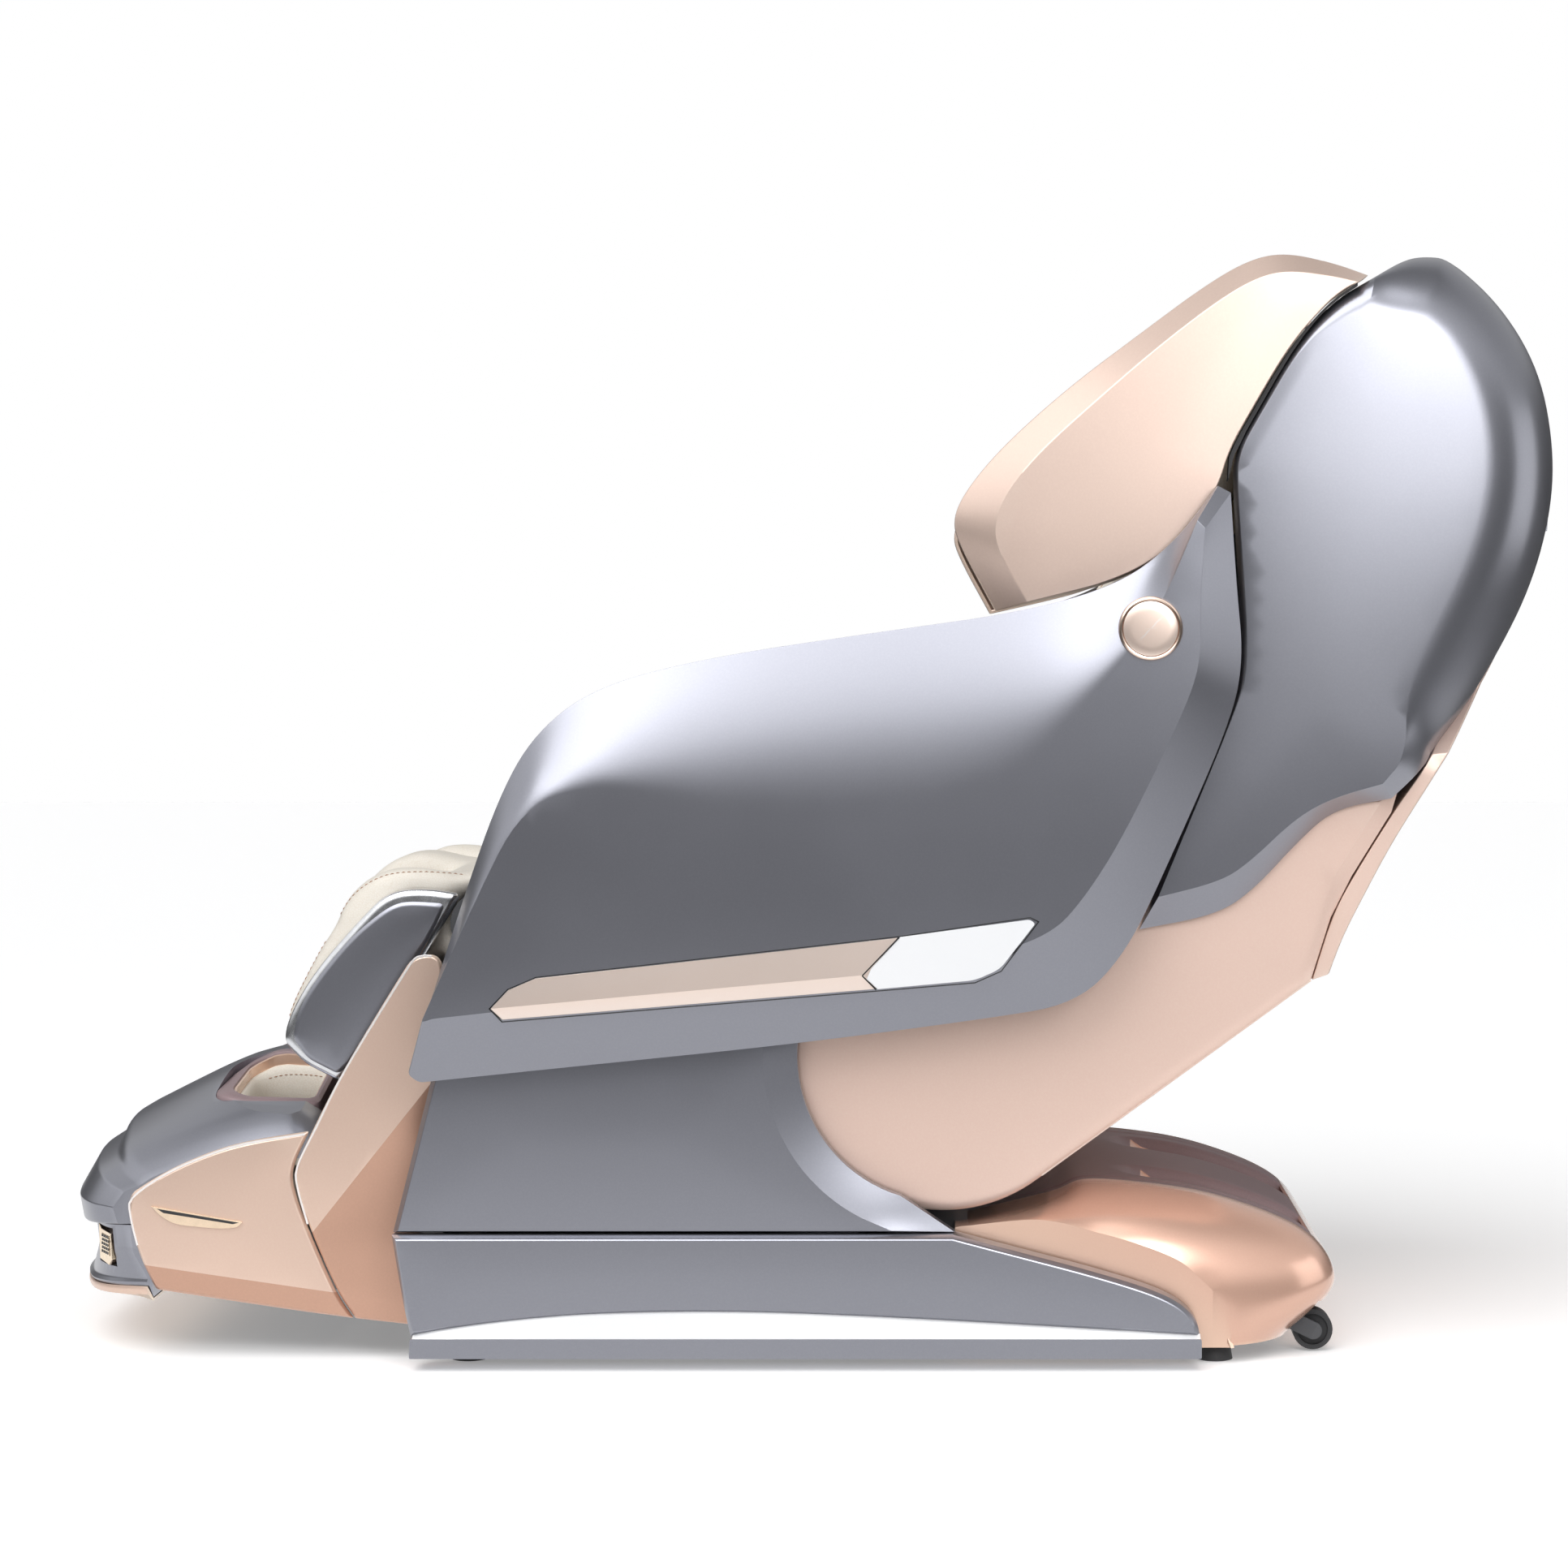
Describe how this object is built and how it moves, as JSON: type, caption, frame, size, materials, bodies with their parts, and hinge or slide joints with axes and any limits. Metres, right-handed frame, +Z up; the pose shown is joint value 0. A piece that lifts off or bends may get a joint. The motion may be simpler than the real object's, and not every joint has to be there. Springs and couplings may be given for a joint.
{
  "type": "massage chair",
  "caption": "Reclining massage chair with a winged backrest, hinged arm pods, a lifting leg rest and a sliding foot unit with foot wells.",
  "frame": {"origin": "middle of the underside of the bounding box, on the floor", "axes": "+X to the sitter's left across the chair, +Y to the rear, +Z up; the chair faces -Y"},
  "size_m": [0.777, 1.5779, 1.151],
  "materials": {
    "frame_steel": "satin dark grey powder coat",
    "grey_shell": "satin metallic grey lacquer",
    "rose_shell": "satin rose gold lacquer",
    "rose_metal": "polished rose gold",
    "mauve_trim": "satin mauve brown",
    "rubber": "matt black",
    "dark_plastic": "matt black",
    "pump_plastic": "matt dark grey",
    "supply_case": "brushed",
    "drive_case": "cast grey",
    "rail_steel": "ground steel",
    "board": "plywood painted brown",
    "roller_plastic": "satin amber plastic",
    "button_plastic": "gloss light grey",
    "silver_trim": "silver lacquer rim round a dark grey face",
    "leather": "soft ivory leatherette",
    "arm_shell": "satin warm beige"
  },
  "bodies": {
    "base": {"base_frame": "frame_steel", "side_covers": "grey_shell", "skirts": "grey_shell", "front_cover": "dark_plastic", "rear_fairing": "rose_shell", "rear_saddle": "mauve_trim", "levelling_feet": "rubber", "air_pump": "pump_plastic", "power_supply": "supply_case", "power_inlet": "dark_plastic", "tilt_drive": "drive_case"},
    "rocker": {"power_switch": "dark_plastic"},
    "wheel_left": {"wheel_left": "rubber"},
    "wheel_right": {"wheel_right": "rubber"},
    "seat": {"seat_frame": "frame_steel", "seat_pan": "dark_plastic", "seat_cushion": "leather", "recline_drive": "drive_case", "legrest_drive": "drive_case"},
    "back": {"back_frame": "frame_steel", "back_board": "board", "lower_back_shell": "rose_shell", "back_shells": "grey_shell", "back_hood": "grey_shell", "rear_panel": "rose_shell", "wings": "rose_shell", "wing_liners": "leather", "wing_seals": "dark_plastic", "back_pad": "leather", "head_pillow": "leather", "massage_rails": "rail_steel"},
    "carriage": {"massage_carriage": "drive_case"},
    "roller_upper_left": {"roller_upper_left": "roller_plastic"},
    "roller_upper_right": {"roller_upper_right": "roller_plastic"},
    "roller_lower_left": {"roller_lower_left": "roller_plastic"},
    "roller_lower_right": {"roller_lower_right": "roller_plastic"},
    "arm_left": {"arm_panel_left": "grey_shell", "arm_liner_left": "arm_shell", "arm_inlay_left": "rose_metal", "arm_pads_left": "leather", "pivot_cap_left": "rose_metal"},
    "arm_right": {"arm_panel_right": "grey_shell", "arm_liner_right": "arm_shell", "arm_inlay_right": "rose_metal", "arm_pads_right": "leather", "pivot_cap_right": "rose_metal", "control_panel": "dark_plastic"},
    "button_up": {"button_up": "button_plastic"},
    "button_down": {"button_down": "button_plastic"},
    "legrest": {"legrest_frame": "frame_steel", "calf_sides": "silver_trim", "calf_pad": "leather", "link_covers": "grey_shell"},
    "foot_unit": {"foot_pan": "dark_plastic", "foot_hood": "grey_shell", "foot_bumper": "grey_shell", "foot_trim": "mauve_trim", "foot_sides": "rose_shell", "foot_liner": "leather"},
    "foot_rollers": {"foot_rollers": "roller_plastic"}
  },
  "joints": [
    {"name": "seat_tilt", "type": "hinge", "parent": "base", "child": "seat", "pos_m": [0, 0.148, 0.32], "axis": [-1, 0, 0], "range_deg": [0, 6]},
    {"name": "recline", "type": "hinge", "parent": "seat", "child": "back", "pos_m": [0, 0.148, 0.32], "axis": [-1, 0, 0], "range_deg": [0, 20]},
    {"name": "arm_swing_left", "type": "hinge", "parent": "back", "child": "arm_left", "pos_m": [0.358, 0.357, 0.759], "axis": [-1, 0, 0], "range_deg": [-12, 0]},
    {"name": "arm_swing_right", "type": "hinge", "parent": "back", "child": "arm_right", "pos_m": [-0.358, 0.357, 0.759], "axis": [-1, 0, 0], "range_deg": [-12, 0]},
    {"name": "legrest_lift", "type": "hinge", "parent": "seat", "child": "legrest", "pos_m": [0, -0.335, 0.45], "axis": [-1, 0, 0], "range_deg": [0, 50]},
    {"name": "foot_extension", "type": "slide", "parent": "legrest", "child": "foot_unit", "axis": [0, -0.92, -0.392], "range_m": [0, 0.07]},
    {"name": "foot_roller_spin", "type": "hinge", "parent": "foot_unit", "child": "foot_rollers", "pos_m": [0, -0.57, 0.112], "axis": [-1, 0, 0], "continuous": true},
    {"name": "carriage_travel", "type": "slide", "parent": "back", "child": "carriage", "axis": [0, 0.5225, 0.8526], "range_m": [0, 0.36]},
    {"name": "roller_spin_upper_left", "type": "hinge", "parent": "carriage", "child": "roller_upper_left", "pos_m": [0.055, 0.24453, 0.55534], "axis": [-1, 0, 0], "continuous": true},
    {"name": "roller_spin_upper_right", "type": "hinge", "parent": "carriage", "child": "roller_upper_right", "pos_m": [-0.055, 0.24453, 0.55534], "axis": [-1, 0, 0], "continuous": true},
    {"name": "roller_spin_lower_left", "type": "hinge", "parent": "carriage", "child": "roller_lower_left", "pos_m": [0.055, 0.20795, 0.49566], "axis": [-1, 0, 0], "continuous": true},
    {"name": "roller_spin_lower_right", "type": "hinge", "parent": "carriage", "child": "roller_lower_right", "pos_m": [-0.055, 0.20795, 0.49566], "axis": [-1, 0, 0], "continuous": true},
    {"name": "wheel_spin_left", "type": "hinge", "parent": "base", "child": "wheel_left", "pos_m": [0.215, 0.536, 0.0225], "axis": [-1, 0, 0], "continuous": true},
    {"name": "wheel_spin_right", "type": "hinge", "parent": "base", "child": "wheel_right", "pos_m": [-0.215, 0.536, 0.0225], "axis": [-1, 0, 0], "continuous": true},
    {"name": "power_rocker", "type": "hinge", "parent": "base", "child": "rocker", "pos_m": [0.034, 0.546, 0.078], "axis": [1, 0, 0], "range_deg": [0, 10]},
    {"name": "button_up_press", "type": "slide", "parent": "arm_right", "child": "button_up", "axis": [0, 0, -1], "range_m": [0, 0.002], "stiffness_N_per_m": 600},
    {"name": "button_down_press", "type": "slide", "parent": "arm_right", "child": "button_down", "axis": [0, 0, -1], "range_m": [0, 0.002], "stiffness_N_per_m": 600}
  ],
  "couplings": [
    {"joint": "arm_swing_left", "follows": "recline", "ratio": -0.6},
    {"joint": "arm_swing_right", "follows": "recline", "ratio": -0.6}
  ]
}
